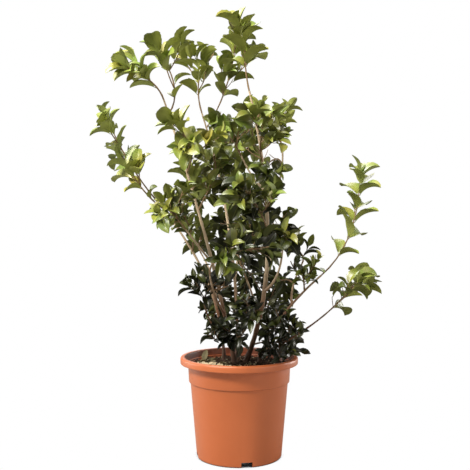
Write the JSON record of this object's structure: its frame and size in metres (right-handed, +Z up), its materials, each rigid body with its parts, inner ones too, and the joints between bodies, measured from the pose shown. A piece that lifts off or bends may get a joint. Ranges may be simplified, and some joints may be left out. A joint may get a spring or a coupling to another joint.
{
  "type": "potted holly olive shrub",
  "caption": "Upright evergreen holly olive with leafy shoots on slender leaning stems, in a round tapered terracotta-coloured plastic pot filled with soil.",
  "frame": {"origin": "centre of the pot's flat underside, on the ground", "axes": "+Z up along the pot's axis, -Y towards the picture's viewer, +X to the viewer's right"},
  "size_m": [0.6804, 0.664, 0.9872],
  "materials": {
    "terracotta": "satin moulded plastic",
    "soil": "dark crumbly potting soil",
    "bark": "pale smooth bark",
    "foliage": "glossy green leaf"
  },
  "bodies": {
    "root": {"pot": "terracotta", "soil": "soil", "stem_right": "bark", "stem_left": "bark", "stem_centre": "bark", "stem_far_left": "bark", "stem_far_right": "bark", "bough_right_upper": "bark", "bough_centre_upper": "bark", "bough_right": "bark", "bough_right_outer": "bark", "bough_low_right": "bark", "bough_low_left": "bark", "bough_left": "bark", "bough_front_right": "bark", "bough_front_left": "bark", "bough_back_right": "bark", "bough_back": "bark", "bough_back_left": "bark", "mass_top": "foliage", "mass_right_top_left": "foliage", "mass_right_top_right": "foliage", "mass_right_upper": "foliage", "mass_right_upper_back": "foliage", "mass_right_arm_top": "foliage", "mass_right_arm_side": "foliage", "mass_right_shelf": "foliage", "mass_front_upper": "foliage", "mass_centre_upper": "foliage", "mass_right_broad": "foliage", "mass_right_outer": "foliage", "mass_right_inner": "foliage", "mass_far_right_top": "foliage", "mass_far_right_inner": "foliage", "mass_foot_right": "foliage", "mass_far_right_low": "foliage", "mass_low_right": "foliage", "mass_foot_front": "foliage", "mass_front_right": "foliage", "mass_front_centre": "foliage", "mass_top_left": "foliage", "mass_top_left_upright": "foliage", "mass_upper_left_front": "foliage", "mass_left_arm": "foliage", "mass_left": "foliage", "mass_front_left": "foliage", "mass_low_left": "foliage", "mass_foot_left": "foliage", "mass_far_left_top": "foliage", "mass_far_left_upright": "foliage", "mass_far_left_inner": "foliage", "mass_far_left_low": "foliage", "mass_back_left": "foliage", "mass_foot_back": "foliage", "mass_centre_top_left": "foliage", "mass_centre_top_right": "foliage", "mass_centre_inner": "foliage", "mass_back": "foliage", "mass_back_right": "foliage", "mass_foot_back_right": "foliage"}
  },
  "joints": []
}
